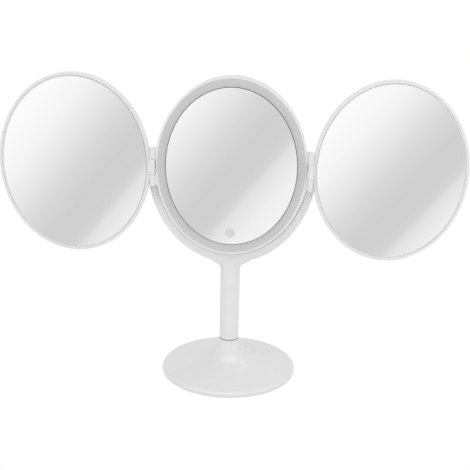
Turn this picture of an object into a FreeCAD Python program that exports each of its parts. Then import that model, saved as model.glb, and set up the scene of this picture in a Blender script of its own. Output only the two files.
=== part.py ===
import FreeCAD, Part
import math
import os

V = FreeCAD.Vector

# Trifold vanity mirror: an oval lit head in a tilting yoke, with a mirror wing hinged at each
# side, on a stem that swivels in a round base. Millimetres. The front faces -Y, +Z is up, and
# the origin lies on the table, on the axis of the stem.

# ---- Base ---------------------------------------------------------------------------------
base_diameter = 150.0
base_wall = 2.4
base_rim_top = 3.0            # top of the upright rim, above the table
base_shoulder_inset = 4.6     # rounded shoulder, in from the rim
base_shoulder_top = 5.8
flare_radius = 46.0           # where the shallow crown turns up into the flare
flare_foot_top = 8.7
neck_step = 0.55              # neck beyond the stem
neck_top = 37.2
foot_thickness = 1.2
foot_ring_width = 7.0
foot_ring_inset = 6.0
cover_thickness = 1.6
cover_clearance = 0.2
cover_screw_inset = 19.0      # from the rim
cover_screw_count = 4
cover_screw_radius = 1.25
cover_screw_head_radius = 2.6
cover_screw_head_height = 1.2
cover_boss_radius = 3.4
cover_boss_height = 3.0
ballast_gap = 0.5             # under the shell
ballast_top = 7.1
ballast_edge_inset = 9.0      # from the rim
ballast_hole_gap = 1.5        # round the swivel's stop tab
ballast_boss_clearance = 0.8

# ---- Swivel joint -------------------------------------------------------------------------
spigot_radius = 7.0
swivel_clearance = 0.06
bush_wall = 2.0
bush_flange_width = 1.8
bush_flange_thickness = 1.5
sleeve_wall = 2.0
sleeve_foot = 14.0
joint_washer_inset = 0.15     # from the stem's skin
joint_washer_thickness = 0.9
axial_play = 0.1
friction_washer_thickness = 0.9
retaining_washer_thickness = 1.2
retaining_washer_width = 3.4
retaining_screw_radius = 2.5
retaining_screw_grip = 13.0
retaining_head_radius = 4.4
retaining_head_height = 3.4
stop_tab_width = 2.4
stop_tab_length = 2.0
stop_tab_height = 4.6
stop_rib_angle = 12.0         # ribs stand this far past the quarter turn
stop_rib_length = 2.6

# ---- Stem and yoke ------------------------------------------------------------------------
stem_radius = 10.75
core_wall = 1.5
core_inset = 2.0              # the core ends this far below the stem's widening
spigot_grip = 30.0            # length of the spigot held in the stem's steel core
head_centre_height = 236.8
yoke_side_gap = 2.6           # beside the head
yoke_root_gap = 2.8           # under the head, for its lower edge to swing through
yoke_side_width = 8.1
yoke_root_height = 9.7        # of the yoke at its lowest point
yoke_arm_depth = 13.0
yoke_root_depth = 22.4        # at the yoke's lowest point
yoke_wall = 1.8
yoke_edge_round = 1.5
yoke_solid_margin = 8.25      # the yoke's solid middle is wider than the stem by this much
yoke_cover_thickness = 1.6
yoke_cover_clearance = 0.1
yoke_screw_radius = 0.9
yoke_screw_head_radius = 1.5
yoke_screw_head_height = 0.8
yoke_screw_length = 6.0
yoke_screw_turns = (14.0, 62.0)   # degrees below the tilt axis
stem_blend_drop = 21.8        # the stem starts to widen this far below the yoke's inner edge
stem_blend_end = 3.8          # and has its full width this far below it
stem_blend_width = 30.0       # half width of the blend where it meets the yoke
stem_blend_set_in = 0.6       # the blend's faces end this far behind the yoke's
stem_blend_steps = (             # rise, widening
    (0.26, 0.035), (0.39, 0.125), (0.52, 0.31), (0.72, 0.65), (1.0, 1.0))

# ---- Tilt pivots --------------------------------------------------------------------------
pivot_pad_radius = 5.8
pivot_pad_proud = 0.2         # pads stand out from the head's side by this much
pivot_washer_thickness = 1.0
pivot_side_play = 0.1
pivot_shoulder_radius = 3.0
pivot_clearance = 0.06
pivot_thread_radius = 2.0
pivot_thread_length = 12.6
pivot_head_radius = 4.4
pivot_head_height = 2.2
pivot_seat_clearance = 0.4    # round the screw's head
pivot_cap_inset = 0.4          # the cap lies this far under the arm's face
pivot_cap_thickness = 1.3
pivot_cap_gap = 0.5           # between the cap and the screw's head
pivot_boss_radius = 6.0
insert_radius = 3.3
insert_length = 10.0

# ---- Head ---------------------------------------------------------------------------------
head_width = 160.0
head_height = 188.8
head_front = 20.0             # front plane, ahead of the stem's axis
frame_depth = 14.0
head_depth = 30.0
frame_wall = 1.8
frame_rim_width = 2.3         # rim seen from the front
frame_rim_thickness = 1.0
frame_edge_round = 0.7
shell_wall = 2.4
shell_side_wall = 2.0
shell_step = 0.15             # the rear shell sits in from the frame by this much
shell_edge_depth = 12.0       # depth over which the back rounds off
shell_round_height = 34.4     # the back rounds off over this much of its height
tongue_clearance = 0.25
tongue_wall = 1.5
snap_bead = 0.5
snap_width = 0.8
snap_clearance = 0.1
snap_back = 2.2               # from the frame's back edge to the snap bead

# ---- Mirror and light ring ----------------------------------------------------------------
light_ring_width = 8.3        # the diffuser as seen from the front
glass_thickness = 2.0
mirror_recess = 0.6
seal_width = 0.6
seal_recess = 0.3             # seal below the glass
diffuser_thickness = 2.0
diffuser_clearance = 0.15
tape_thickness = 0.4
tape_inset = 1.0
carrier_thickness = 2.0
carrier_flange = 3.0          # carrier's edge beyond the glass, behind the diffuser
channel_width = 7.8
channel_side_clearance = 0.4
channel_wall = 1.2
channel_depth = 7.0
led_board_thickness = 1.6
led_board_clearance = 0.4
led_count = 40
led_length = 3.5
led_width = 2.8
led_height = 0.8
touch_inset = 12.8            # middle of the touch mark, above the glass's lower edge
touch_mark_radius = 5.2
touch_mark_thickness = 0.1
touch_hole_radius = 4.5
touch_spring_radius = 3.0
touch_spring_wire = 0.5
touch_spring_turns = 4

# ---- Electronics --------------------------------------------------------------------------
board_width = 40.0
board_height = 26.0
board_thickness = 1.6
board_standoff = 2.4
board_screw_radius = 1.0
board_screw_head_radius = 1.9
board_screw_head_height = 1.2
board_boss_radius = 2.6
board_screw_spread = 15.0
lead_radius = 0.7
lead_bend = 2.0

# ---- Batteries ----------------------------------------------------------------------------
cell_count = 4
cell_radius = 7.1
cell_length = 49.2
cell_nub_radius = 2.7
cell_nub_length = 1.2
cell_pitch = 15.0
cell_spring_length = 4.0
cell_clearance = 0.3
contact_size = 9.0
contact_thickness = 0.4
box_wall = 1.4
door_lap = 2.8
door_thickness = 1.3
door_clearance = 0.2
door_tab_width = 13.0
door_tab_length = 8.0
door_screw_radius = 1.1
door_screw_head_radius = 2.3
door_screw_head_height = 0.8
door_screw_length = 9.0

# ---- Screws that close the head -----------------------------------------------------------
shell_screw_radius = 1.2
shell_screw_head_radius = 2.6
shell_screw_head_height = 1.8
shell_screw_seat = 5.0        # depth of the counterbore under the flat back
shell_screw_grip = 7.0
shell_screw_side_inset = 30.0     # pair beside the batteries, from the head's side
shell_screw_corner_x = 30.0
shell_screw_end_inset = 32.4      # pairs above and below, from the head's ends
shell_post_radius = 4.6
carrier_post_radius = 3.2
post_split_depth = 18.0       # where carrier and shell posts meet, behind the front plane

# ---- Wings --------------------------------------------------------------------------------
wing_side_margin = 0.2        # wing beyond the head, so that it covers the head once folded
wing_end_margin = 0.6
wing_depth = 8.0
wing_edge_depth = 5.4         # depth of the upright edge, before the back rounds off
wing_round_height = 29.0
wing_lip_width = 2.7
wing_step_width = 1.3         # step between lip and glass
wing_step_depth = 1.4         # of that step, behind the front plane
wing_glass_clearance = 0.15
wing_glass_recess = 0.8
wing_edge_round = 0.9
wing_web_thickness = 1.6
wing_back_wall = 1.4
wing_back_rim = 0.4           # upright edge of the back cover
wing_back_step = 0.15
wing_tongue_wall = 1.2
wing_tongue_clearance = 0.15
wing_rib_thickness = 1.2
wing_rib_count = 5

# ---- Wing hinges --------------------------------------------------------------------------
hinge_offset = 2.8            # hinge axis beyond the head's edge
wing_gap = 2.4                # hinge axis to the wing's edge
barrel_radius = 2.9
hinge_height = 40.0
hinge_drop = 0.7              # middle of the hinges below the head's middle
middle_knuckle_height = 16.0
knuckle_gap = 0.25
knuckle_neck_depth = 4.2
knuckle_post_half_width = 1.6
barrel_relief = 0.35
slot_relief = 0.9             # slot beside the middle knuckle
slot_depth = 3.2              # of that slot, behind the front plane
fold_relief = 0.5             # hollow in a folded wing's far edge, round the other hinge
hinge_pin_radius = 1.0
hinge_pin_clearance = 0.05
hinge_pin_head_radius = 1.7
hinge_pin_head_height = 0.8
hinge_pin_head_clearance = 0.1
hinge_cap_thickness = 1.6     # closed upper end of each barrel
fold_gap = 0.8                # between the head's rim and the left wing folded onto it
stack_gap = 0.6               # between the two folded wings

# ---- Worked out from the above ------------------------------------------------------------
head_a, head_b = head_width / 2, head_height / 2
wing_a, wing_b = head_a + wing_side_margin, head_b + wing_end_margin
mirror_inset = frame_rim_width + light_ring_width + seal_width
mirror_a, mirror_b = head_a - mirror_inset, head_b - mirror_inset
touch_drop = mirror_b - touch_inset
shell_flat_drop = head_b - shell_round_height
wing_flat_drop = wing_b - wing_round_height
shell_screw_side = head_a - shell_screw_side_inset
shell_screw_corner_z = head_b - shell_screw_end_inset
front = -head_front
frame_back = front + frame_depth
back = front + head_depth
glass_front = front + mirror_recess
glass_back = glass_front + glass_thickness
carrier_front = glass_back + tape_thickness
carrier_back = carrier_front + carrier_thickness
diffuser_back = carrier_front
diffuser_front = diffuser_back - diffuser_thickness
channel_front = carrier_back
channel_back = diffuser_back + channel_depth
led_board_front = channel_back - channel_wall - led_board_thickness
shell_inner = back - shell_wall
post_split = front + post_split_depth
hinge_x = head_a + hinge_offset
wing_x = hinge_x + wing_gap + wing_a
left_hinge_y = front - fold_gap / 2
right_hinge_y = front - (fold_gap + wing_depth + stack_gap) / 2
neck_radius = stem_radius + neck_step
joint_washer_radius = stem_radius - joint_washer_inset
bush_radius = spigot_radius + bush_wall
bush_flange_radius = bush_radius + bush_flange_width
sleeve_radius = bush_radius + sleeve_wall
retaining_washer_radius = spigot_radius + retaining_washer_width
stem_foot = neck_top + joint_washer_thickness + axial_play
stem_bore = spigot_radius + core_wall
base_radius = base_diameter / 2
cover_screw_circle = base_radius - cover_screw_inset
ballast_hole_radius = sleeve_radius + stop_tab_length + ballast_hole_gap
cz = head_centre_height
hinge_z = cz - hinge_drop
yoke_inner_a, yoke_inner_drop = head_a + yoke_side_gap, head_b + yoke_root_gap
yoke_outer_a, yoke_outer_drop = yoke_inner_a + yoke_side_width, yoke_inner_drop + yoke_root_height
yoke_solid_root = stem_radius + yoke_solid_margin
stem_top = cz - yoke_inner_drop - stem_blend_drop
pivot_pad_face = head_a + pivot_pad_proud
pivot_cap_face = yoke_outer_a - pivot_cap_inset
pivot_seat = (pivot_cap_face - pivot_cap_thickness - pivot_cap_gap - pivot_head_height
              - pivot_side_play)
far = 2 * head_width          # beyond every piece


# ---- Helpers ------------------------------------------------------------------------------
def save(name, *solids):
    """Writes one sub-part, a solid or a group of separate solids."""
    shape = solids[0] if len(solids) == 1 else Part.makeCompound(list(solids))
    count = sum(len(s.Solids) for s in solids)
    assert shape.isValid() and count >= 1, name
    shape.exportStep("parts/" + name + ".step")
    print(f"{name}: {count} solid(s), {sum(s.Volume for s in solids) / 1000:.2f} cm3")


def block(x0, x1, y0, y1, z0, z1):
    return Part.makeBox(x1 - x0, y1 - y0, z1 - z0, V(x0, y0, z0))


def rod(x, y, z0, z1, radius):
    """Upright cylinder."""
    return Part.makeCylinder(radius, z1 - z0, V(x, y, z0))


def rod_y(x, z, y0, y1, radius):
    """Cylinder along the depth."""
    return Part.makeCylinder(radius, y1 - y0, V(x, y0, z), V(0, 1, 0))


def rod_x(side, x0, x1, radius, y=0.0, z=0.0):
    """Cylinder along the width, at that side of the middle."""
    return Part.makeCylinder(radius, x1 - x0, V(side * x0, y, z), V(side, 0, 0))


def ring(z0, z1, outer, inner):
    return rod(0, 0, z0, z1, outer).cut(rod(0, 0, z0, z1, inner))


def oval(a, b, y0, y1, x=0.0, z=cz):
    """Upright elliptical disc of half width a and half height b."""
    edge = Part.Ellipse(V(x, y0, z + b), V(x + a, y0, z), V(x, y0, z)).toShape()
    return Part.Face(Part.Wire([edge])).extrude(V(0, y1 - y0, 0))


def head_oval(inset, y0, y1):
    return oval(head_a - inset, head_b - inset, y0, y1)


def head_ring(inset, width, y0, y1):
    return head_oval(inset, y0, y1).cut(head_oval(inset + width, y0, y1))


def front_rounded(solid, y, radius):
    """Rounds the edges that lie in the plane y."""
    edges = [e for e in solid.Edges if e.BoundBox.YMax - e.BoundBox.YMin < 1e-6]
    return solid.makeFillet(radius, [e for e in edges if abs(e.BoundBox.YMax - y) < 1e-6])


def pebble(a, b, y0, y_edge, y_back, flat, x=0.0, z=cz):
    """Oval lid with an upright edge, then a quarter-ellipse fall from a flat middle."""
    bow = Part.Ellipse(V(0, y_edge, b), V(0, y_back, flat), V(0, y_edge, flat))
    rim, top = V(0, y_edge, b), V(0, y_back, flat)
    outline = [
        Part.makeLine(V(0, y0, 0), V(0, y0, b)),
        Part.makeLine(V(0, y0, b), rim),
        Part.ArcOfEllipse(bow, 0, math.pi / 2).toShape(),
        Part.makeLine(top, V(0, y_back, 0)),
        Part.makeLine(V(0, y_back, 0), V(0, y0, 0)),
    ]
    lid = Part.Face(Part.Wire(outline)).revolve(V(0, 0, 0), V(0, 1, 0), 360)
    squeeze = FreeCAD.Matrix()
    squeeze.scale(a / b, 1, 1)
    lid = lid.transformGeometry(squeeze)
    lid.translate(V(x, 0, z))
    return Part.Solid(lid) if lid.ShapeType == "Shell" else lid.Solids[0]


def revolved(points_and_curves):
    """Solid of revolution about the stem's axis from edges in the plane y = 0."""
    return Part.Face(Part.Wire(points_and_curves)).revolve(V(0, 0, 0), V(0, 0, 1), 360)


def screw(x, z, y_seat, head_radius, head_height, radius, length):
    """Pan-head screw driven from the back."""
    head = rod_y(x, z, y_seat, y_seat + head_height, head_radius)
    slot = block(x - head_radius * 0.7, x + head_radius * 0.7, y_seat + head_height * 0.5,
                 y_seat + head_height, z - head_radius * 0.15, z + head_radius * 0.15)
    cross = slot.copy()
    cross.rotate(V(x, 0, z), V(0, 1, 0), 90)
    return head.cut(slot).cut(cross).fuse(rod_y(x, z, y_seat - length, y_seat, radius))


def coil(start, axis, radius, wire, length, turns):
    """Helical spring from start along axis."""
    pitch = (length - 2 * wire) / turns
    path = Part.makeLongHelix(pitch, pitch * turns, radius)
    section = Part.Wire([Part.Circle(V(radius, 0, 0), V(0, 1, 0), wire).toShape()])
    spring = Part.Wire(path.Edges).makePipeShell([section], True, True)
    spring.translate(V(0, 0, wire))
    spring.Placement = FreeCAD.Placement(
        start, FreeCAD.Rotation(V(0, 0, 1), axis)).multiply(spring.Placement)
    return spring


def lead(points, radius=lead_radius, bend=lead_bend):
    """Wire along straight runs joined by tangent arcs."""
    edges, last = [], points[0]
    for before, corner, after in zip(points, points[1:], points[2:]):
        back_way = (before - corner).normalize()
        on_way = (after - corner).normalize()
        half_turn = (math.pi - back_way.getAngle(on_way)) / 2
        setback = bend * math.tan(half_turn)
        p, q = corner + back_way * setback, corner + on_way * setback
        bulge = (back_way + on_way).normalize()
        middle = corner + bulge * (bend / math.cos(half_turn) - bend)
        edges += [Part.makeLine(last, p), Part.Arc(p, middle, q).toShape()]
        last = q
    edges.append(Part.makeLine(last, points[-1]))
    route = Part.Wire(edges)
    section = Part.Wire([Part.Circle(points[0], points[1] - points[0], radius).toShape()])
    return route.makePipeShell([section], True, False)


# ---- Base ---------------------------------------------------------------------------------
def base_profile(wall):
    """Outline of the base's skin, moved in by wall, from the neck down to the rim."""
    lift = 0.3 * wall
    flare = Part.BezierCurve()
    flare.setPoles([
        V(neck_radius - wall, 0, neck_top),
        V(neck_radius - wall, 0, neck_top * 0.55 - lift),
        V(flare_radius * 0.5 - lift, 0, flare_foot_top * 1.28 - wall),
        V(flare_radius, 0, flare_foot_top - wall),
    ])
    crown_end = V(base_radius - base_shoulder_inset - lift, 0, base_shoulder_top - wall)
    rim_end = V(base_radius - wall, 0, base_rim_top)
    slope = (base_shoulder_top - flare_foot_top) / (
        base_radius - base_shoulder_inset - flare_radius)
    corner_x = base_radius - wall
    corner = V(corner_x, 0, crown_end.z + slope * (corner_x - crown_end.x))
    shoulder = Part.BezierCurve()
    shoulder.setPoles([crown_end, corner, rim_end])
    crown = Part.makeLine(V(flare_radius, 0, flare_foot_top - wall), crown_end)
    return [flare.toShape(), crown, shoulder.toShape()]


def base_body(wall, foot):
    top = V(neck_radius - wall, 0, neck_top)
    low = V(base_radius - wall, 0, foot)
    edges = base_profile(wall) + [
        Part.makeLine(V(base_radius - wall, 0, base_rim_top), low),
        Part.makeLine(low, V(0, 0, foot)),
        Part.makeLine(V(0, 0, foot), V(0, 0, neck_top)),
        Part.makeLine(V(0, 0, neck_top), top),
    ]
    return revolved(edges)


def around(count, radius, start=45.0):
    """Points on a circle about the stem's axis."""
    turn = [math.radians(start + 360 * k / count) for k in range(count)]
    return [(radius * math.cos(t), radius * math.sin(t)) for t in turn]


def make_base():
    cover_top = foot_thickness + cover_thickness
    shell = base_body(0, foot_thickness).cut(base_body(base_wall, foot_thickness))
    shell = shell.fuse(rod(0, 0, sleeve_foot, neck_top - 2.0, sleeve_radius).common(
        base_body(0, foot_thickness)))
    for angle in (stop_rib_angle, 180 - stop_rib_angle):
        rib = block(sleeve_radius - 0.5, sleeve_radius + stop_rib_length,
                    -stop_tab_width / 2, stop_tab_width / 2,
                    sleeve_foot, sleeve_foot + stop_tab_height)
        rib.rotate(V(0, 0, 0), V(0, 0, 1), angle)
        shell = shell.fuse(rib)
    screws = around(cover_screw_count, cover_screw_circle)
    for x, y in screws:
        post = rod(x, y, cover_top, cover_top + cover_boss_height + base_wall / 2,
                   cover_boss_radius)
        shell = shell.fuse(post)
        shell = shell.cut(rod(x, y, 0, cover_top + cover_boss_height, cover_screw_radius))
    shell = shell.cut(rod(0, 0, 0, neck_top + 1, bush_radius)).removeSplitter()
    save("base_shell", shell)

    cover = rod(0, 0, foot_thickness, cover_top, base_radius - base_wall - cover_clearance)
    heads = foot_thickness + cover_screw_head_height
    drive = []
    for x, y in screws:
        cover = cover.cut(rod(x, y, 0, heads, cover_screw_head_radius + cover_clearance))
        cover = cover.cut(rod(x, y, 0, cover_top, cover_screw_radius + cover_clearance))
        head = rod(x, y, foot_thickness, heads, cover_screw_head_radius)
        slot = block(x - cover_screw_head_radius, x + cover_screw_head_radius,
                     y - 0.4, y + 0.4, foot_thickness, foot_thickness + 0.5)
        shank = rod(x, y, heads, cover_top + cover_boss_height - 0.4, cover_screw_radius)
        drive.append(head.cut(slot).fuse(shank))
    save("base_cover", cover)
    save("base_cover_screws", *drive)

    foot_outer = base_radius - foot_ring_inset
    save("foot_ring", ring(0, foot_thickness, foot_outer, foot_outer - foot_ring_width))

    ballast = base_body(base_wall + ballast_gap, cover_top).common(
        ring(cover_top, ballast_top, base_radius - ballast_edge_inset, ballast_hole_radius))
    for x, y in screws:
        ballast = ballast.cut(rod(x, y, 0, neck_top, cover_boss_radius + ballast_boss_clearance))
    save("ballast_plate", ballast)

    flange_foot = sleeve_foot - bush_flange_thickness
    bush = rod(0, 0, sleeve_foot, neck_top, bush_radius)
    bush = bush.fuse(rod(0, 0, flange_foot, sleeve_foot, bush_flange_radius))
    bush = bush.cut(rod(0, 0, 0, neck_top + 1, spigot_radius + swivel_clearance))
    save("swivel_bush", bush.removeSplitter())
    save("joint_washer", ring(neck_top, neck_top + joint_washer_thickness,
                              joint_washer_radius, spigot_radius + swivel_clearance))
    washer_top = flange_foot
    save("friction_washer", ring(washer_top - friction_washer_thickness, washer_top,
                                 retaining_washer_radius, spigot_radius + swivel_clearance))


# ---- Stand: stem, yoke and the swivel's spigot --------------------------------------------
def yoke_taper():
    """Angle of the yoke's front and back faces: each runs from the root to the round arm end."""
    root, arm = yoke_root_depth / 2, yoke_arm_depth / 2
    reach = math.hypot(root, yoke_outer_drop)
    return math.acos(arm / reach) - math.atan2(yoke_outer_drop, root)


def yoke_half_depth(drop):
    """Half of the yoke's depth at a height below the tilt axis."""
    taper = yoke_taper()
    return (yoke_arm_depth / 2 + drop * math.sin(taper)) / math.cos(taper)


def crescent(inset):
    """The yoke's shape from the front, with each edge moved in by inset."""
    outer = oval(yoke_outer_a - inset, yoke_outer_drop - inset, -far, far)
    return outer.cut(oval(yoke_inner_a + inset, yoke_inner_drop + inset, -far, far))


def across(outline):
    """Prism across the whole width from an outline seen from the side."""
    slab = Part.Face(Part.Wire(outline)).extrude(V(2 * yoke_outer_a, 0, 0))
    slab.translate(V(-yoke_outer_a, 0, cz))
    return slab


def yoke_layer(front_face, front_shift, back_shift, top):
    """Layer of the yoke that follows its taper, from a height below the tilt axis down. The
    layer starts front_shift behind the yoke's front (-1) or back (1) face and ends back_shift
    behind its back face."""
    low = yoke_outer_drop + yoke_root_height
    points = [V(0, front_face * yoke_half_depth(d) + front_shift, -d) for d in (top, low)]
    points += [V(0, yoke_half_depth(d) + back_shift, -d) for d in (low, top)]
    return across([Part.makeLine(p, q) for p, q in zip(points, points[1:] + points[:1])])


def yoke_solid():
    taper, arm, low = yoke_taper(), yoke_arm_depth / 2, yoke_outer_drop + yoke_root_height
    side_y, side_z = arm * math.cos(taper), arm * math.sin(taper)
    foot = yoke_half_depth(low)
    points = [V(0, -side_y, side_z), V(0, -foot, -low), V(0, foot, -low), V(0, side_y, side_z)]
    arch = Part.Arc(points[3], V(0, 0, arm), points[0]).toShape()
    band = crescent(0).common(
        across([Part.makeLine(p, q) for p, q in zip(points, points[1:])] + [arch]))
    rims = [e for e in band.Edges if e.BoundBox.YLength + e.BoundBox.ZLength > 1]
    return band.makeFillet(yoke_edge_round, rims)


def stem_blend():
    """The stem's top, widening sideways into the yoke."""
    rise = stem_blend_drop - stem_blend_end
    wires = [Part.Wire([Part.Circle(V(0, 0, stem_top), V(0, 0, 1), stem_radius).toShape()])]
    for up, out in stem_blend_steps:
        half = stem_radius + out * (stem_blend_width - stem_radius)
        depth = stem_radius - up * stem_blend_set_in
        z = stem_top + up * rise
        shape = Part.Ellipse(V(half, 0, z), V(0, depth, z), V(0, 0, z))
        wires.append(Part.Wire([shape.toShape()]))
    return Part.makeLoft(wires, True, False)


def yoke_screw_places():
    """Screws of the yoke's back covers, on the middle of each arm: x, z and the back's y."""
    a = (yoke_outer_a + yoke_inner_a) / 2
    b = (yoke_outer_drop + yoke_inner_drop) / 2
    places = []
    for turn in yoke_screw_turns:
        x, drop = a * math.cos(math.radians(turn)), b * math.sin(math.radians(turn))
        places += [(side * x, cz - drop, yoke_half_depth(drop)) for side in (-1, 1)]
    return places


def make_stand():
    core_top = stem_top - core_inset
    stem = rod(0, 0, stem_foot, stem_top, stem_radius).fuse(stem_blend())
    inner_clear = oval(yoke_inner_a, yoke_inner_drop, -far, far)
    yoke = yoke_solid().fuse(stem.cut(inner_clear))
    solid_root = block(-yoke_solid_root, yoke_solid_root, -far, far, 0, cz)
    hollow_top = yoke_arm_depth / 2 + yoke_wall
    cavity = crescent(yoke_wall).common(yoke_layer(-1, yoke_wall, yoke_arm_depth, hollow_top))
    cavity = cavity.cut(solid_root)
    yoke = yoke.cut(cavity)
    under_cover = crescent(yoke_wall).common(
        yoke_layer(-1, yoke_wall, -yoke_cover_thickness, hollow_top))
    screws = []
    for x, z, y in yoke_screw_places():
        yoke = yoke.fuse(rod_y(x, z, -2 * y, y, yoke_arm_depth / 2).common(under_cover))
        yoke = yoke.cut(rod_y(x, z, y - yoke_screw_length - 0.6, y, yoke_screw_radius))
        screws.append(screw(x, z, y - yoke_screw_head_height, yoke_screw_head_radius,
                            yoke_screw_head_height, yoke_screw_radius,
                            yoke_screw_length - yoke_screw_head_height))
    save("yoke_cover_screws", *screws)
    boss_face = pivot_pad_face + pivot_washer_thickness + pivot_side_play
    for side in (-1, 1):
        boss = rod_x(side, boss_face, pivot_seat + 1, pivot_boss_radius, 0, cz)
        yoke = yoke.fuse(boss)
    for side in (-1, 1):
        bore_x = rod_x(side, boss_face - 1, pivot_seat + 1,
                       pivot_shoulder_radius + pivot_clearance, 0, cz)
        seat = rod_x(side, pivot_seat, far, pivot_head_radius + pivot_seat_clearance, 0, cz)
        yoke = yoke.cut(bore_x).cut(seat)
    yoke = yoke.cut(rod(0, 0, stem_foot, core_top, stem_bore)).removeSplitter()
    save("yoke_and_stem", yoke)

    plate = crescent(yoke_wall + yoke_cover_clearance).common(
        yoke_layer(1, -yoke_cover_thickness, 0, hollow_top + yoke_cover_clearance))
    plate = plate.cut(block(-yoke_solid_root - yoke_cover_clearance,
                            yoke_solid_root + yoke_cover_clearance, -far, far, 0, cz))
    for x, z, y in yoke_screw_places():
        plate = plate.cut(rod_y(x, z, 0, 2 * y, yoke_screw_radius + 0.1))
        plate = plate.cut(rod_y(x, z, y - yoke_screw_head_height, 2 * y,
                                yoke_screw_head_radius + 0.1))
    covers = sorted(plate.Solids, key=lambda s: s.CenterOfMass.x)
    save("yoke_covers", *covers)

    save("stem_core", ring(stem_foot, core_top, stem_bore, spigot_radius))
    flange_foot = sleeve_foot - bush_flange_thickness
    spigot_foot = flange_foot - friction_washer_thickness - axial_play
    spigot_tip = stem_foot + spigot_grip
    spigot = rod(0, 0, spigot_foot, spigot_tip, spigot_radius)
    spigot = spigot.cut(rod(0, 0, 0, spigot_foot + retaining_screw_grip,
                            retaining_screw_radius))
    save("swivel_spigot", spigot)

    washer_foot = spigot_foot - retaining_washer_thickness
    washer = ring(washer_foot, spigot_foot, retaining_washer_radius, retaining_screw_radius + 0.1)
    tab = block(-stop_tab_width / 2, stop_tab_width / 2,
                -sleeve_radius - stop_tab_length - 0.4, -sleeve_radius - 0.4,
                washer_foot, washer_foot + stop_tab_height)
    arm = block(-stop_tab_width / 2, stop_tab_width / 2,
                -sleeve_radius - stop_tab_length - 0.4, -retaining_washer_radius + 1.5,
                washer_foot, spigot_foot)
    save("retaining_washer", washer.fuse(tab).fuse(arm).removeSplitter())
    head = rod(0, 0, washer_foot - retaining_head_height, washer_foot, retaining_head_radius)
    socket = rod(0, 0, washer_foot - retaining_head_height,
                 washer_foot - retaining_head_height / 2, retaining_screw_radius * 0.8)
    shank = rod(0, 0, washer_foot, spigot_foot + retaining_screw_grip - 1.0,
                retaining_screw_radius)
    save("retaining_screw", head.cut(socket).fuse(shank))
    caps = [rod_x(side, pivot_cap_face - pivot_cap_thickness, pivot_cap_face,
                  pivot_head_radius + pivot_seat_clearance, 0, cz) for side in (-1, 1)]
    save("pivot_caps", *caps)


# ---- Head ---------------------------------------------------------------------------------
def screw_posts():
    posts = [(side * shell_screw_side, cz) for side in (-1, 1)]
    posts += [(sx * shell_screw_corner_x, cz + sz * shell_screw_corner_z)
              for sx in (-1, 1) for sz in (-1, 1)]
    return posts


def knuckle_spans():
    """Heights of the head's two knuckles at each hinge."""
    half, middle = hinge_height / 2, middle_knuckle_height / 2
    return [(hinge_z + middle + knuckle_gap, hinge_z + half),
            (hinge_z - half, hinge_z - middle - knuckle_gap)]


def pin_span():
    """Heights between which a hinge pin lies: pushed in from below, closed off above."""
    return hinge_z - hinge_height / 2, hinge_z + hinge_height / 2 - hinge_cap_thickness


def knuckle(side, hinge_y, z0, z1, toward_wing):
    """One knuckle, its post back to the front plane and its neck into the frame or the wing."""
    x = side * hinge_x
    barrel = rod(x, hinge_y, z0, z1, barrel_radius)
    reach = side * (wing_gap + 4.0 if toward_wing else -hinge_offset - 4.0)
    neck_end = front + knuckle_neck_depth
    w = knuckle_post_half_width
    post = block(x - w, x + w, hinge_y, neck_end, z0, z1)
    lo, hi = sorted((x, x + reach))
    neck = block(min(lo, x - w), max(hi, x + w), front + 0.02, neck_end, z0, z1)
    return barrel.fuse(post).fuse(neck)


def make_frame():
    shell = front_rounded(head_oval(0, front, frame_back), front, frame_edge_round)
    opening = head_oval(frame_rim_width, front, frame_back)
    inside = head_oval(frame_wall, front + frame_rim_thickness, frame_back)
    groove_y = frame_back - snap_back
    groove = head_oval(frame_wall - snap_bead + tongue_clearance - snap_clearance,
                       groove_y - snap_width - snap_clearance, groove_y + snap_clearance)
    solid = shell.cut(opening).cut(inside).cut(groove)
    keep_out = head_oval(frame_wall / 2, front - 20, frame_back)
    for side, hinge_y in ((-1, left_hinge_y), (1, right_hinge_y)):
        x = side * hinge_x
        middle = middle_knuckle_height / 2 + knuckle_gap
        reach = barrel_radius + slot_relief
        low, high = hinge_z - middle, hinge_z + middle
        solid = solid.cut(rod(x, hinge_y, low, high, reach))
        solid = solid.cut(block(x - reach, x + reach, hinge_y, front + slot_depth, low, high))
        for z0, z1 in knuckle_spans():
            solid = solid.fuse(knuckle(side, hinge_y, z0, z1, False).cut(keep_out))
        low, high = pin_span()
        solid = solid.cut(rod(x, hinge_y, low, high, hinge_pin_radius))
        solid = solid.cut(rod(x, hinge_y, low, low + hinge_pin_head_height,
                              hinge_pin_head_radius + hinge_pin_head_clearance))
    save("front_frame", solid.removeSplitter())
    for side, hinge_y, name in ((-1, left_hinge_y, "left"), (1, right_hinge_y, "right")):
        x, (low, high) = side * hinge_x, pin_span()
        head = rod(x, hinge_y, low, low + hinge_pin_head_height, hinge_pin_head_radius)
        save(name + "_hinge_pin", rod(x, hinge_y, low, high, hinge_pin_radius).fuse(head))


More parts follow.
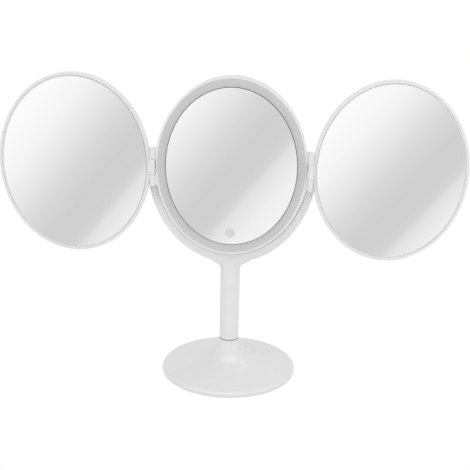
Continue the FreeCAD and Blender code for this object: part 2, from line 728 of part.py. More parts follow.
def make_glass():
    save("centre_mirror", oval(mirror_a, mirror_b, glass_front, glass_back))
    seal_a, seal_b = mirror_a + seal_width, mirror_b + seal_width
    seal = oval(seal_a, seal_b, glass_front + seal_recess, carrier_front)
    seal = seal.cut(oval(mirror_a, mirror_b, glass_front, carrier_front))
    save("mirror_seal", seal)
    diffuser = head_oval(frame_wall + diffuser_clearance, diffuser_front, diffuser_back)
    diffuser = diffuser.cut(oval(seal_a, seal_b, diffuser_front, diffuser_back))
    save("diffuser_ring", diffuser)
    touch_z = cz - touch_drop
    tape = oval(mirror_a - tape_inset, mirror_b - tape_inset, glass_back, carrier_front)
    save("mirror_tape", tape.cut(rod_y(0, touch_z, glass_back, carrier_front,
                                       touch_hole_radius)))
    save("touch_mark", rod_y(0, touch_z, glass_front - touch_mark_thickness, glass_front,
                             touch_mark_radius))
    board_front = carrier_back + board_standoff
    save("touch_spring", coil(V(0, glass_back, touch_z), V(0, 1, 0), touch_spring_radius,
                              touch_spring_wire / 2, board_front - glass_back,
                              touch_spring_turns))


def make_carrier():
    touch_z = cz - touch_drop
    plate = oval(mirror_a + carrier_flange, mirror_b + carrier_flange,
                 carrier_front, carrier_back)
    plate = plate.cut(rod_y(0, touch_z, carrier_front, carrier_back, touch_hole_radius))
    for x, z in screw_posts():
        plate = plate.fuse(rod_y(x, z, carrier_back, post_split, carrier_post_radius))
        plate = plate.cut(rod_y(x, z, carrier_back + 2, post_split, shell_screw_radius))
    board_front = carrier_back + board_standoff
    for side in (-1, 1):
        x = side * board_screw_spread
        plate = plate.fuse(rod_y(x, board_z(), carrier_back, board_front, board_boss_radius))
        plate = plate.cut(rod_y(x, board_z(), carrier_front + 0.6, board_front,
                                board_screw_radius))
    save("mirror_carrier", plate.removeSplitter())


def board_z():
    """Height of the control board's middle: the touch spring lands above it."""
    return cz - touch_drop + board_height / 2 - 7.5


def channel_mid():
    """Half axes of the light ring's centre line."""
    inset = frame_wall + channel_side_clearance + channel_width / 2
    return head_a - inset, head_b - inset


def make_light():
    outer = frame_wall + channel_side_clearance
    channel = head_ring(outer, channel_width, channel_back - channel_wall, channel_back)
    channel = channel.fuse(head_ring(outer, channel_wall, diffuser_back, channel_back))
    channel = channel.fuse(head_ring(outer + channel_width - channel_wall, channel_wall,
                                     channel_front, channel_back))
    for x, z in led_lead_ends():
        channel = channel.cut(rod_y(x, z, diffuser_back, channel_back, lead_radius + 0.2))
    save("light_channel", channel.removeSplitter())
    inset = outer + channel_wall + led_board_clearance
    width = channel_width - 2 * (channel_wall + led_board_clearance)
    save("led_board", head_ring(inset, width, led_board_front, channel_back - channel_wall))
    a, b = channel_mid()
    leds = []
    for k in range(led_count):
        t = 2 * math.pi * (k + 0.5) / led_count
        led = block(-led_length / 2, led_length / 2, led_board_front - led_height,
                    led_board_front, -led_width / 2, led_width / 2)
        lens = rod_y(0, 0, led_board_front - led_height - 0.1,
                     led_board_front - led_height, led_width * 0.36)
        led = led.fuse(lens)
        slope = math.degrees(math.atan2(b * math.cos(t), -a * math.sin(t)))
        led.rotate(V(0, 0, 0), V(0, 1, 0), -slope)
        led.translate(V(a * math.cos(t), 0, cz + b * math.sin(t)))
        leds.append(led)
    save("leds", *leds)


def led_lead_ends():
    """Where the two supply wires pass through the light channel's floor."""
    a, b = channel_mid()
    turns = [math.radians(-60), math.radians(-57)]
    return [(a * math.cos(t), cz + b * math.sin(t)) for t in turns]


def make_electronics():
    front_y = carrier_back + board_standoff
    back_y = front_y + board_thickness
    z0, z1 = board_z() - board_height / 2, board_z() + board_height / 2
    board = block(-board_width / 2, board_width / 2, front_y, back_y, z0, z1)
    screws = []
    for side in (-1, 1):
        x = side * board_screw_spread
        board = board.cut(rod_y(x, board_z(), front_y, back_y, board_screw_radius + 0.15))
        screws.append(screw(x, board_z(), back_y, board_screw_head_radius,
                            board_screw_head_height, board_screw_radius,
                            board_thickness + board_standoff))
    save("control_board", board)
    save("board_screws", *screws)
    chip = block(-4.0, 4.0, back_y, back_y + 1.4, z0 + 11, z0 + 16)
    driver = block(6.5, 11.0, back_y, back_y + 1.4, z0 + 3, z0 + 7.5)
    inductor = block(-13.0, -7.0, back_y, back_y + 3.0, z0 + 2.5, z0 + 8.5)
    capacitor = rod_y(0, z0 + 4.5, back_y, back_y + 5.0, 2.5)
    save("board_components", chip, driver, inductor, capacitor)

    box_z = cz - battery_half_height() - box_wall
    pair = []
    for side in (-1, 1):
        x, y = side * 8.0, back_y + 4.0
        pair.append(lead([V(x, y, box_z), V(x, y, z1 - 3.0), V(x, back_y, z1 - 3.0)]))
    save("battery_leads", *pair)
    pair = []
    for k, (x, z) in enumerate(led_lead_ends()):
        start = V(board_width / 2 - 3.0, back_y, z0 + 6.0 + 2.6 * k)
        behind = channel_back + 1.6
        pair.append(lead([start, V(start.x, behind, start.z), V(x, behind, z),
                          V(x, channel_back - channel_wall, z)], lead_radius, 1.0))
    save("led_leads", *pair)


def battery_half_width():
    """Half of the inside width of the battery box."""
    return (cell_pitch * (cell_count - 1)) / 2 + cell_radius + cell_clearance


def battery_half_height():
    """Half of the inside length of the battery box."""
    return (cell_length + cell_nub_length + cell_spring_length) / 2 + contact_thickness


def make_batteries():
    half_w, half_h = battery_half_width(), battery_half_height()
    cell_y = shell_inner - cell_radius - 1.0
    floor = cell_y - cell_radius - cell_clearance
    box = block(-half_w - box_wall, half_w + box_wall, floor - box_wall, shell_inner,
                cz - half_h - box_wall, cz + half_h + box_wall)
    box = box.cut(block(-half_w, half_w, floor, shell_inner, cz - half_h, cz + half_h))
    save("battery_box", box)
    cells, plates, springs = [], [], []
    for k in range(cell_count):
        x = (k - (cell_count - 1) / 2) * cell_pitch
        up = 1 if k % 2 else -1
        base_end = cz - up * (half_h - contact_thickness - cell_spring_length)
        z0, z1 = sorted((base_end, base_end + up * cell_length))
        body = rod(x, cell_y, z0, z1, cell_radius)
        n0, n1 = sorted((base_end + up * cell_length,
                         base_end + up * (cell_length + cell_nub_length)))
        cells.append(body.fuse(rod(x, cell_y, n0, n1, cell_nub_radius)))
        for end in (-1, 1):
            p0, p1 = sorted((cz + end * half_h, cz + end * (half_h - contact_thickness)))
            plates.append(block(x - contact_size / 2, x + contact_size / 2,
                                cell_y - contact_size / 2, cell_y + contact_size / 2, p0, p1))
        start = cz - up * (half_h - contact_thickness)
        springs.append(coil(V(x, cell_y, start), V(0, 0, up), 3.2, 0.35,
                            cell_spring_length, 4))
    save("battery_cells", *cells)
    save("contact_plates", *plates)
    save("contact_springs", *springs)


def door_outline(grow, y0, y1):
    """Door plate with its screw tab, grown by grow."""
    half_w = battery_half_width() + door_lap + grow
    half_h = battery_half_height() + door_lap + grow
    plate = block(-half_w, half_w, y0, y1, cz - half_h, cz + half_h)
    tab_half = door_tab_width / 2 + grow
    tab = block(-tab_half, tab_half, y0, y1, cz - half_h - door_tab_length, cz - half_h + 1)
    return plate.fuse(tab).removeSplitter()


def door_screw_z():
    return cz - battery_half_height() - door_lap - door_tab_length / 2 + 0.6


def make_rear():
    a, b = head_a - shell_step, head_b - shell_step
    edge_y = back - shell_edge_depth
    outer = pebble(a, b, frame_back, edge_y, back, shell_flat_drop)
    inner = pebble(a - shell_side_wall, b - shell_side_wall, frame_back, edge_y,
                   shell_inner, shell_flat_drop)
    shell = outer.cut(inner)
    tongue_inset = frame_wall + tongue_clearance
    shell = shell.fuse(head_ring(tongue_inset, tongue_wall, channel_back,
                                 frame_back + shell_side_wall / 2))
    bead_y = frame_back - snap_back
    shell = shell.fuse(head_ring(tongue_inset - snap_bead, tongue_wall,
                                 bead_y - snap_width, bead_y))
    hull = outer.fuse(head_oval(tongue_inset, channel_back, frame_back))
    seat = back - shell_screw_seat
    for x, z in screw_posts():
        shell = shell.fuse(rod_y(x, z, post_split, back, shell_post_radius).common(hull))
        shell = shell.cut(rod_y(x, z, post_split, back, shell_screw_radius + 0.2))
        shell = shell.cut(rod_y(x, z, seat, back, shell_screw_head_radius + 0.3))
    for side in (-1, 1):
        pad_root = pivot_pad_face - pivot_thread_length - 1.5
        shell = shell.fuse(rod_x(side, pad_root, pivot_pad_face, pivot_pad_radius, 0, cz))
        shell = shell.cut(rod_x(side, pad_root, pad_root + insert_length, insert_radius, 0, cz))
        shell = shell.cut(rod_x(side, pad_root, pivot_pad_face, pivot_thread_radius + 0.2,
                                0, cz))
    half_w, half_h = battery_half_width(), battery_half_height()
    shell = shell.cut(block(-half_w, half_w, shell_inner - 1, back, cz - half_h, cz + half_h))
    ledge = back - door_thickness - 0.1
    shell = shell.cut(door_outline(door_clearance, ledge, back))
    screw_z = door_screw_z()
    shell = shell.fuse(rod_y(0, screw_z, ledge - door_screw_length, ledge, 3.2))
    shell = shell.cut(rod_y(0, screw_z, ledge - door_screw_length + 0.8, ledge,
                            door_screw_radius))
    save("rear_shell", shell.removeSplitter())

    door = door_outline(0, back - door_thickness, back)
    head_seat = back - door_screw_head_height
    door = door.cut(rod_y(0, screw_z, head_seat, back, door_screw_head_radius + 0.2))
    door = door.cut(rod_y(0, screw_z, back - door_thickness, back, door_screw_radius + 0.2))
    grip = cz + battery_half_height() - 6.0
    for k in range(3):
        z = grip - 2.6 * k
        door = door.cut(block(-11, 11, back - 0.5, back, z - 0.6, z + 0.6))
    save("battery_door", door)
    save("door_screw", screw(0, screw_z, head_seat, door_screw_head_radius,
                             door_screw_head_height, door_screw_radius,
                             door_screw_length - 1.4))
    save("shell_screws", *[screw(x, z, seat, shell_screw_head_radius,
                                 shell_screw_head_height, shell_screw_radius,
                                 seat - post_split + shell_screw_grip)
                           for x, z in screw_posts()])
    inserts, screws, washers = [], [], []
    pad_root = pivot_pad_face - pivot_thread_length - 1.5
    for side in (-1, 1):
        insert = rod_x(side, pad_root, pad_root + insert_length, insert_radius, 0, cz)
        inserts.append(insert.cut(rod_x(side, pad_root, pivot_pad_face,
                                        pivot_thread_radius, 0, cz)))
        body = rod_x(side, pivot_pad_face - pivot_thread_length, pivot_pad_face,
                     pivot_thread_radius, 0, cz)
        shoulder_end = pivot_seat + pivot_side_play
        body = body.fuse(rod_x(side, pivot_pad_face, shoulder_end,
                               pivot_shoulder_radius, 0, cz))
        head = rod_x(side, shoulder_end, shoulder_end + pivot_head_height,
                     pivot_head_radius, 0, cz)
        socket = rod_x(side, shoulder_end + pivot_head_height / 2,
                       shoulder_end + pivot_head_height, pivot_thread_radius * 0.8, 0, cz)
        screws.append(body.fuse(head.cut(socket)))
        washer = rod_x(side, pivot_pad_face, pivot_pad_face + pivot_washer_thickness,
                       pivot_pad_radius - 0.2, 0, cz)
        washers.append(washer.cut(rod_x(side, pivot_pad_face - 1, pivot_seat,
                                        pivot_shoulder_radius, 0, cz)))
    save("pivot_inserts", *inserts)
    save("pivot_screws", *screws)
    save("pivot_washers", *washers)


# ---- Wings --------------------------------------------------------------------------------
def make_wing(side, name, hinge_y, other_hinge_y):
    """One mirror wing, open flat beside the head."""
    x = side * wing_x
    edge_back = front + wing_edge_depth
    glass_y = front + wing_glass_recess
    web_front = glass_y + glass_thickness + tape_thickness
    web_back = web_front + wing_web_thickness

    def shape(inset, y0, y1):
        return oval(wing_a - inset, wing_b - inset, y0, y1, x)

    tray = front_rounded(shape(0, front, edge_back), front, wing_edge_round)
    pocket_inset = wing_lip_width + wing_step_width
    tray = tray.cut(shape(wing_lip_width, front, front + wing_step_depth))
    tray = tray.cut(shape(pocket_inset, front, web_front))
    tray = tray.cut(shape(wing_lip_width, web_back, edge_back))
    middle = middle_knuckle_height / 2
    for z0, z1 in knuckle_spans():
        tray = tray.cut(rod(side * hinge_x, hinge_y, z0 - knuckle_gap, z1 + knuckle_gap,
                            barrel_radius + barrel_relief))
    # The other wing's hinge, as met by this wing's far edge once it is folded over the head.
    relief = rod(3 * side * hinge_x, 2 * hinge_y - other_hinge_y, hinge_z - hinge_height / 2 - 1,
                 hinge_z + hinge_height / 2 + 1, barrel_radius + fold_relief)
    tray = tray.cut(relief)
    tray = tray.fuse(knuckle(side, hinge_y, hinge_z - middle, hinge_z + middle, True).cut(
        shape(wing_lip_width / 2, front - 20, edge_back)))
    tray = tray.cut(rod(side * hinge_x, hinge_y, hinge_z - hinge_height, hinge_z + hinge_height,
                        hinge_pin_radius + hinge_pin_clearance))
    save(name + "_wing_tray", tray.removeSplitter())

    glass_inset = pocket_inset + wing_glass_clearance
    save(name + "_wing_mirror", shape(glass_inset, glass_y, glass_y + glass_thickness))
    save(name + "_wing_tape", shape(glass_inset + tape_inset, glass_y + glass_thickness,
                                    web_front))

    a, b = wing_a - wing_back_step, wing_b - wing_back_step
    rear = front + wing_depth
    rim_back = edge_back + wing_back_rim
    cover = pebble(a, b, edge_back, rim_back, rear, wing_flat_drop, x)
    hollow = pebble(a - wing_lip_width, b - wing_lip_width, edge_back, rim_back,
                    rear - wing_back_wall, wing_flat_drop, x)
    cover = cover.cut(hollow)
    tongue = wing_lip_width + wing_tongue_clearance
    cover = cover.fuse(shape(tongue, web_back, edge_back + 0.4).cut(
        shape(tongue + wing_tongue_wall, web_back, edge_back + 0.4)))
    save(name + "_wing_back", cover.cut(relief).removeSplitter())


os.makedirs("parts", exist_ok=True)
make_base()
make_stand()
make_frame()
make_glass()
make_carrier()
make_light()
make_electronics()
make_batteries()
make_rear()
make_wing(-1, "left", left_hinge_y, right_hinge_y)
make_wing(1, "right", right_hinge_y, left_hinge_y)
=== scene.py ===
import math

import bpy
from mathutils import Matrix, Vector


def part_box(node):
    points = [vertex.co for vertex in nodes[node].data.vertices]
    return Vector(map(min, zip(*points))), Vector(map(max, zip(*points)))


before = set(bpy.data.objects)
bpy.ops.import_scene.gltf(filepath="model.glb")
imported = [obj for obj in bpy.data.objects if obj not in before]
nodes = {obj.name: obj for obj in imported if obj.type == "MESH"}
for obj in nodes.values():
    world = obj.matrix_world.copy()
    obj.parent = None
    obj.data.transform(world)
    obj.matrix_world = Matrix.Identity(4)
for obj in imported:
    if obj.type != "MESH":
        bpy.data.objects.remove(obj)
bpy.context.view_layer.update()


# ---- Colours ------------------------------------------------------------------------------
def linear(value):
    """Linear light of an sRGB level from 0 to 255."""
    share = value / 255
    return share / 12.92 if share <= 0.04045 else ((share + 0.055) / 1.055) ** 2.4


def tint(red, green, blue):
    return (linear(red), linear(green), linear(blue), 1.0)


def grey(value):
    return tint(value, value, value)


WHITE = grey(255)


# ---- Camera -------------------------------------------------------------------------------
CAMERA_AZIMUTH = 2.893            # degrees to the right of straight ahead
CAMERA_ELEVATION = 16.372
CAMERA_ROLL = 1.198
CAMERA_DISTANCE = 0.862514        # from the target
CAMERA_TARGET = (0.004494, 0, 0.158499)
CAMERA_NEAR, CAMERA_FAR = 0.01, 50
FOCAL_LENGTH = 786.67             # in pixels of a frame that is FRAME_WIDTH wide
FRAME_WIDTH = 470
SENSOR_WIDTH = 36.0               # millimetres


def place_camera():
    azimuth, elevation = math.radians(CAMERA_AZIMUTH), math.radians(CAMERA_ELEVATION)
    roll = math.radians(CAMERA_ROLL)
    back = Vector((math.sin(azimuth) * math.cos(elevation),
                   -math.cos(azimuth) * math.cos(elevation), math.sin(elevation)))
    level_right = (-back).cross(Vector((0, 0, 1))).normalized()
    level_up = level_right.cross(-back)
    right = level_right * math.cos(roll) + level_up * math.sin(roll)
    up = level_up * math.cos(roll) - level_right * math.sin(roll)
    data = bpy.data.cameras.new("camera")
    data.sensor_width = SENSOR_WIDTH
    data.lens = FOCAL_LENGTH / FRAME_WIDTH * SENSOR_WIDTH
    data.clip_start, data.clip_end = CAMERA_NEAR, CAMERA_FAR
    camera = bpy.data.objects.new("camera", data)
    bpy.context.collection.objects.link(camera)
    turn = Matrix((right, up, back)).transposed().to_4x4()
    camera.matrix_world = Matrix.Translation(Vector(CAMERA_TARGET) + back * CAMERA_DISTANCE) @ turn
    bpy.context.scene.camera = camera


# ---- Node trees ---------------------------------------------------------------------------
class NodeTree:
    """Short way to fill a node tree."""

    def __init__(self, tree):
        self.tree = tree
        tree.nodes.clear()

    def add(self, kind, inputs=None, **settings):
        """New node. Each input is a value, or a socket that is linked to it."""
        node = self.tree.nodes.new(kind)
        for key, value in settings.items():
            setattr(node, key, value)
        for key, value in (inputs or {}).items():
            if isinstance(value, bpy.types.NodeSocket):
                self.tree.links.new(value, node.inputs[key])
            else:
                node.inputs[key].default_value = value
        return node

    def math(self, operation, first, second=0.0, clamp=False):
        node = self.add("ShaderNodeMath", {0: first, 1: second}, operation=operation)
        node.use_clamp = clamp
        return node.outputs[0]

    def vector(self, operation, first, second=(0, 0, 0)):
        node = self.add("ShaderNodeVectorMath", {0: first, 1: second}, operation=operation)
        return node.outputs["Value" if operation == "LENGTH" else "Vector"]

    def spread(self, value, start, end, at_start=0.0, at_end=1.0):
        """Goes from at_start to at_end while value goes from start to end."""
        return self.add("ShaderNodeMapRange", {
            "Value": value, "From Min": start, "From Max": end,
            "To Min": at_start, "To Max": at_end}).outputs[0]

    def ramp(self, factor, stops):
        node = self.add("ShaderNodeValToRGB", {"Fac": factor})
        band = node.color_ramp.elements
        while len(band) < len(stops):
            band.new(0.5)
        for element, (place, colour) in zip(band, stops):
            element.position, element.color = place, colour
        return node.outputs["Color"]

    def place(self, name="Object"):
        return self.add("ShaderNodeTexCoord").outputs[name]

    def noise(self, scale, detail):
        return self.add("ShaderNodeTexNoise", {
            "Vector": self.place(), "Scale": scale, "Detail": detail}).outputs["Fac"]

    def background(self, colour, strength):
        return self.add("ShaderNodeBackground", {"Color": colour, "Strength": strength})

    def emission(self, colour, strength):
        return self.add("ShaderNodeEmission", {"Color": colour, "Strength": strength})

    def mix(self, factor, first, second):
        """The first shader where factor is 0, and the second where it is 1."""
        return self.add("ShaderNodeMixShader", {
            0: factor, 1: first.outputs[0], 2: second.outputs[0]})

    def finish(self, kind, shader):
        self.add(kind, {"Surface": shader.outputs[0]})


# ---- Materials ----------------------------------------------------------------------------
DRIFT_DETAIL = 4.0
DRIFT_ENDS = (0.3, 0.7)           # where the drifting noise is fully one tone or the other
GRAIN_DETAIL = 2.0

COAT = {"Coat Weight": 0.25, "Coat Roughness": 0.04}
SILVER = ((0.965, 0.965, 0.965, 1), (0.975, 0.975, 0.975, 1))    # in linear light

# Painted shade on the diffuser: its grey level at places from the glass (0) to the rim (1), darker
# along the glass where its edge shades the ring, and paler towards the rim to offset the rim's
# shade.
DIFFUSER_SHADE_STOPS = ((0.0, 192), (0.3, 205), (0.75, 211), (1.0, 218))
DIFFUSER_DRIFT = 25.0
DIFFUSER_WANDER = 0.02            # swing of the noise, in shares of the outer radius


def material(name, tones, roughness, rough_spread=0.04, drift=60.0, grain=900.0,
             bump=0.05, depth=0.00004, **sockets):
    """Principled material whose roughness wanders a little, with a fine grain.

    tones is two colours that it wanders between, or a function that makes its colour. drift
    and grain are scales of noise, bump and depth the grain's strength and height, and sockets
    are more inputs of the shader.
    """
    made = bpy.data.materials.new(name)
    made.use_nodes = True
    tree = NodeTree(made.node_tree)
    wander = tree.noise(drift, DRIFT_DETAIL)
    colour = tones(tree) if callable(tones) else tree.ramp(wander, list(zip(DRIFT_ENDS, tones)))
    rough = tree.spread(wander, 0.0, 1.0, roughness - rough_spread, roughness + rough_spread)
    normal = tree.add("ShaderNodeBump", {
        "Height": tree.noise(grain, GRAIN_DETAIL), "Strength": bump, "Distance": depth})
    inputs = {"Base Color": colour, "Roughness": rough, "Normal": normal.outputs["Normal"]}
    inputs.update(sockets)
    tree.finish("ShaderNodeOutputMaterial", tree.add("ShaderNodeBsdfPrincipled", inputs))
    return made


def assign(made, *names):
    for name in names:
        slots = nodes[name].data.materials
        slots.clear()
        slots.append(made)


def dress_mouldings():
    tones = (grey(239), grey(241))
    assign(material("white_gloss_moulding", tones, 0.1, rough_spread=0.015, bump=0.003, **COAT),
           "base_shell", "yoke_and_stem")
    assign(material("white_satin_moulding", tones, 0.3, rough_spread=0.02, bump=0.01),
           "yoke_covers", "pivot_caps", "front_frame", "rear_shell", "battery_door",
           "left_wing_tray", "left_wing_back", "right_wing_tray", "right_wing_back")
    assign(material("plain_white_moulding", (grey(212), grey(218)), 0.5, bump=0.12),
           "base_cover", "mirror_carrier", "light_channel", "battery_box")


def diffuser_painted_shade(tree):
    """Milky white with painted shade: darker along the glass than along the rim."""
    low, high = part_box("diffuser_ring")
    inner_low, inner_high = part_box("centre_mirror")
    middle = (Vector(low) + Vector(high)) / 2
    outer_width, outer_height = (high[0] - low[0]) / 2, (high[2] - low[2]) / 2
    inner_width = (inner_high[0] - inner_low[0]) / 2
    offset = tree.vector("SUBTRACT", tree.place(), middle)
    shares = tree.vector("MULTIPLY", offset, (1 / outer_width, 0, 1 / outer_height))
    noise = tree.math("SUBTRACT", tree.noise(DIFFUSER_DRIFT, DRIFT_DETAIL), 0.5)
    reach = tree.math("ADD", tree.vector("LENGTH", shares),
                      tree.math("MULTIPLY", noise, DIFFUSER_WANDER))
    along = tree.spread(reach, inner_width / outer_width, 1.0)
    return tree.ramp(along, [(place, grey(level)) for place, level in DIFFUSER_SHADE_STOPS])


def dress_mirrors():
    # The diffuser's colour carries painted shade along the glass and is paler towards the rim.
    assign(material("milky_diffuser", diffuser_painted_shade, 0.42, drift=DIFFUSER_DRIFT),
           "diffuser_ring")
    assign(material("silvered_glass", SILVER, 0.0015, rough_spread=0.001, drift=8.0, bump=0.0,
                    Metallic=1.0),
           "centre_mirror", "left_wing_mirror", "right_wing_mirror")
    assign(material("black_bead", (grey(32), grey(52)), 0.6, bump=0.3), "mirror_seal")
    assign(material("foam_tape", (grey(150), grey(172)), 0.85, grain=1800.0, bump=0.5),
           "mirror_tape", "left_wing_tape", "right_wing_tape")
    assign(material("printed_mark", (grey(221), grey(226)), 0.35, bump=0.02), "touch_mark")


def dress_metal():
    assign(material("zinc_plated_steel", (grey(178), grey(205)), 0.3, rough_spread=0.08,
                    drift=400.0, bump=0.15, Metallic=1.0),
           "base_cover_screws", "yoke_cover_screws", "stem_core", "swivel_spigot",
           "retaining_washer", "retaining_screw", "pivot_screws", "shell_screws",
           "door_screw", "board_screws", "left_hinge_pin", "right_hinge_pin")
    assign(material("nickel_plate", (grey(205), grey(222)), 0.18, Metallic=1.0),
           "contact_plates", "contact_springs", "touch_spring")
    assign(material("turned_brass", (tint(196, 158, 88), tint(214, 178, 108)), 0.3,
                    Metallic=1.0),
           "pivot_inserts")
    assign(material("raw_casting", (grey(70), grey(96)), 0.75, drift=180.0, bump=0.6,
                    depth=0.0003),
           "ballast_plate")


def dress_rings_and_washers():
    assign(material("foot_rubber", (grey(42), grey(58)), 0.8, bump=0.25), "foot_ring")
    assign(material("natural_acetal", (grey(226), grey(232)), 0.4),
           "swivel_bush", "pivot_washers")
    assign(material("dark_washer", (grey(126), grey(138)), 0.5),
           "joint_washer", "friction_washer")


def dress_electrics():
    assign(material("board_green", (tint(28, 92, 52), tint(36, 108, 62)), 0.35),
           "control_board")
    assign(material("board_white", (grey(222), grey(232)), 0.35), "led_board")
    assign(material("phosphor", (tint(228, 206, 120), tint(240, 220, 140)), 0.3), "leds")
    assign(material("chip_black", (grey(38), grey(50)), 0.45), "board_components")
    assign(material("cell_jacket", (tint(52, 66, 84), tint(60, 76, 96)), 0.3),
           "battery_cells")
    assign(material("red_insulation", (tint(176, 36, 30), tint(190, 46, 38)), 0.45),
           "battery_leads", "led_leads")


# ---- Studio -------------------------------------------------------------------------------
# The world's colour depends on the direction in which a ray goes. across and rise are the
# direction's sideways and upward parts for each unit ahead, so they are places on a wall one
# metre in front. Grey levels run from 0 to 255.
SOFT_LIGHT = 0.7                  # strength of the even light that matt surfaces get
LEAST_AHEAD = 0.001               # keeps across and rise finite
FACING_Y = -0.05                  # a direction with a smaller Y looks ahead

# Soft panels that the three mirrors reflect: pale, then a broad slanting grey band, then pale
# again. Each stop is a place across the band and the grey there.
PANEL = ((-136, 254), (-104, 247), (-84, 239), (-40, 217), (-12, 209), (12, 210), (22, 214),
         (32, 228), (58, 241), (104, 247))
PANEL_GAIN = 1.006                # all these greys are set a little brighter
PANEL_WHITE = 254                 # but no brighter than this
BAND_ACROSS = 766.6               # a place goes up by this for each metre across
BAND_RISE = 622.5                 # and down by this for each metre of rise
PANEL_CENTRES = (-28.0, 93.0, 282.0)    # the band's middle on the left, centre and right panel
PANEL_EDGES = (-0.155, 0.0405)    # across, where one panel gives way to the next
PANEL_EDGE_BLUR = 0.006           # how far the change goes to each side of an edge
# The panels' middle, how far from it they are full, and how far they reach.
PANEL_ACROSS = (-0.06, 0.36, 0.5)
PANEL_RISE = (-0.22, 0.24, 0.4)

# The rest of the room: its greys from low (0) to high (1), and a direction's Z at those ends.
ROOM_STOPS = ((0.0, 236), (0.3, 232), (0.45, 238), (1.0, 232))
ROOM_LOW, ROOM_HIGH = -0.3, 0.9

# Softboxes that glossy surfaces reflect: direction, turn about the vertical in degrees, how far
# it reaches along its own X, Y and Z on a unit sphere, added strength.
SOFTBOXES = (((0.03, -0.25, 0.97), 0, (0.66, 0.52, 0.45), 1.6),
             ((0.93, -0.35, 0.15), 0, (0.3, 0.16, 0.4), 1.2),
             ((-0.93, -0.35, 0.15), 0, (0.3, 0.16, 0.4), 1.8),
             ((0.43, 0.42, 0.80), 40, (0.27, 0.05, 0.3), 1.7))
SOFTBOX_EDGE = 0.03               # the soft edge goes this share of the reach in and out

# Area lamps: name, place, width, height, watts.
LAMPS = (("key", (-1.1, -1.3, 1.9), 1.4, 1.2, 6.2),
         ("fill", (1.4, -1.0, 0.7), 1.2, 1.2, 1.3),
         ("front", (0.5, -1.5, 0.3), 0.8, 0.5, 2.4),
         ("rear", (0.9, 0.9, 0.9), 0.8, 0.8, 1.9))
LAMP_AIM = (0, 0, 0.15)

FLOOR_REACH = 6.0
FLOOR_TONE = grey(244)
FLOOR_GLOW = 0.32                 # added near the object, for the camera alone
GLOW_NEAR, GLOW_FAR = 0.1, 0.3    # distance from the origin over which the floor goes to white


def panel_greys(tree, across, rise):
    """The three panels' greys, each with its band in its own place."""
    along = tree.math("SUBTRACT", tree.math("MULTIPLY", across, BAND_ACROSS),
                      tree.math("MULTIPLY", rise, BAND_RISE))
    centre = PANEL_CENTRES[0]
    for edge, here, beyond in zip(PANEL_EDGES, PANEL_CENTRES, PANEL_CENTRES[1:]):
        step = tree.spread(across, edge - PANEL_EDGE_BLUR, edge + PANEL_EDGE_BLUR,
                           0.0, beyond - here)
        centre = tree.math("ADD", centre, step)
    first, length = PANEL[0][0], PANEL[-1][0] - PANEL[0][0]
    from_first = tree.math("SUBTRACT", tree.math("SUBTRACT", along, centre), first)
    stops = [((place - first) / length, grey(min(PANEL_WHITE, level * PANEL_GAIN)))
             for place, level in PANEL]
    return tree.ramp(tree.math("DIVIDE", from_first, length, clamp=True), stops)


def panel_share(tree, across, rise, facing):
    """1 where the panels are, fading to 0 round them."""
    shares = []
    for place, (middle, full, end) in ((across, PANEL_ACROSS), (rise, PANEL_RISE)):
        away = tree.math("ABSOLUTE", tree.math("SUBTRACT", place, middle))
        shares.append(tree.spread(away, full, end, 1.0, 0.0))
    return tree.math("MULTIPLY", tree.math("MULTIPLY", *shares), facing)


def softbox_strength(tree, way):
    total = 0.0
    for aim, turn, reach, strength in SOFTBOXES:
        offset = tree.vector("SUBTRACT", way, Vector(aim).normalized())
        turned = tree.add("ShaderNodeVectorRotate", {
            "Vector": offset, "Angle": math.radians(turn)}, rotation_type="Z_AXIS").outputs[0]
        apart = tree.vector("LENGTH", tree.vector("DIVIDE", turned, reach))
        total = tree.math("ADD", total, tree.spread(
            apart, 1 - SOFTBOX_EDGE, 1 + SOFTBOX_EDGE, strength, 0.0))
    return total


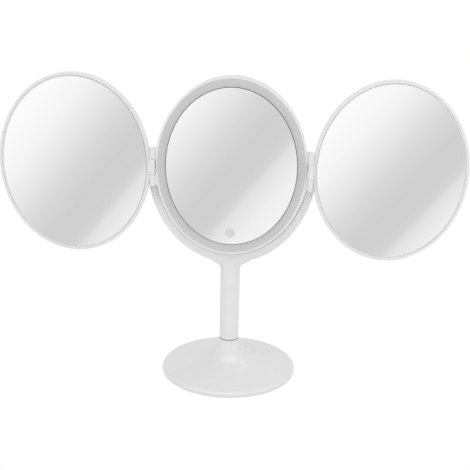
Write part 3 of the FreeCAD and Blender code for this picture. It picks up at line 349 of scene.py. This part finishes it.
def studio_world():
    """Even light for matt surfaces, panels and softboxes for gloss, white for the camera."""
    world = bpy.data.worlds.new("studio")
    bpy.context.scene.world = world
    world.use_nodes = True
    tree = NodeTree(world.node_tree)
    way = tree.place("Generated")
    parts = tree.add("ShaderNodeSeparateXYZ", {"Vector": way}).outputs
    ahead = tree.math("MAXIMUM", tree.math("MULTIPLY", parts["Y"], -1.0), LEAST_AHEAD)
    across = tree.math("DIVIDE", parts["X"], ahead)
    rise = tree.math("DIVIDE", parts["Z"], ahead)
    room_greys = tree.ramp(tree.spread(parts["Z"], ROOM_LOW, ROOM_HIGH),
                           [(place, grey(level)) for place, level in ROOM_STOPS])
    room = tree.background(room_greys, tree.math("ADD", softbox_strength(tree, way), 1.0))
    panels = tree.background(panel_greys(tree, across, rise), 1.0)
    facing = tree.math("LESS_THAN", parts["Y"], FACING_Y)
    mirrored = tree.mix(panel_share(tree, across, rise, facing), room, panels)
    rays = tree.add("ShaderNodeLightPath").outputs
    lit = tree.mix(rays["Is Glossy Ray"], tree.background(WHITE, SOFT_LIGHT), mirrored)
    tree.finish("ShaderNodeOutputWorld",
                tree.mix(rays["Is Camera Ray"], lit, tree.background(WHITE, 1.0)))


def floor():
    """Pale floor that shows the shadow near the object, is white further out and isn't mirrored."""
    mesh = bpy.data.meshes.new("floor")
    reach = FLOOR_REACH
    corners = [(-reach, -reach, 0), (reach, -reach, 0), (reach, reach, 0), (-reach, reach, 0)]
    mesh.from_pydata(corners, [], [(0, 1, 2, 3)])
    ground = bpy.data.objects.new("floor", mesh)
    bpy.context.collection.objects.link(ground)
    made = bpy.data.materials.new("pale_floor")
    made.use_nodes = True
    tree = NodeTree(made.node_tree)
    matte = tree.add("ShaderNodeBsdfDiffuse", {"Color": FLOOR_TONE})
    glow = tree.emission(WHITE, FLOOR_GLOW)
    near = tree.add("ShaderNodeAddShader", {0: matte.outputs[0], 1: glow.outputs[0]})
    away = tree.vector("LENGTH", tree.place())
    shown = tree.mix(tree.spread(away, GLOW_NEAR, GLOW_FAR), near, tree.emission(WHITE, 1.0))
    rays = tree.add("ShaderNodeLightPath").outputs
    solid = tree.mix(rays["Is Camera Ray"], matte, shown)
    clear = tree.add("ShaderNodeBsdfTransparent")
    tree.finish("ShaderNodeOutputMaterial", tree.mix(rays["Is Glossy Ray"], solid, clear))
    mesh.materials.append(made)


def lamps():
    """Lamps that light the object and show neither in it nor to the camera."""
    for name, place, width, height, watts in LAMPS:
        data = bpy.data.lights.new(name, "AREA")
        data.shape = "RECTANGLE"
        data.size, data.size_y, data.energy = width, height, watts
        lamp = bpy.data.objects.new(name, data)
        bpy.context.collection.objects.link(lamp)
        lamp.location = place
        lamp.rotation_mode = "QUATERNION"
        lamp.rotation_quaternion = (Vector(LAMP_AIM) - Vector(place)).to_track_quat("-Z", "Y")
        lamp.visible_glossy = False
        lamp.visible_camera = False


place_camera()
dress_mouldings()
dress_mirrors()
dress_metal()
dress_rings_and_washers()
dress_electrics()
studio_world()
floor()
lamps()

bpy.context.scene.view_settings.view_transform = "Standard"
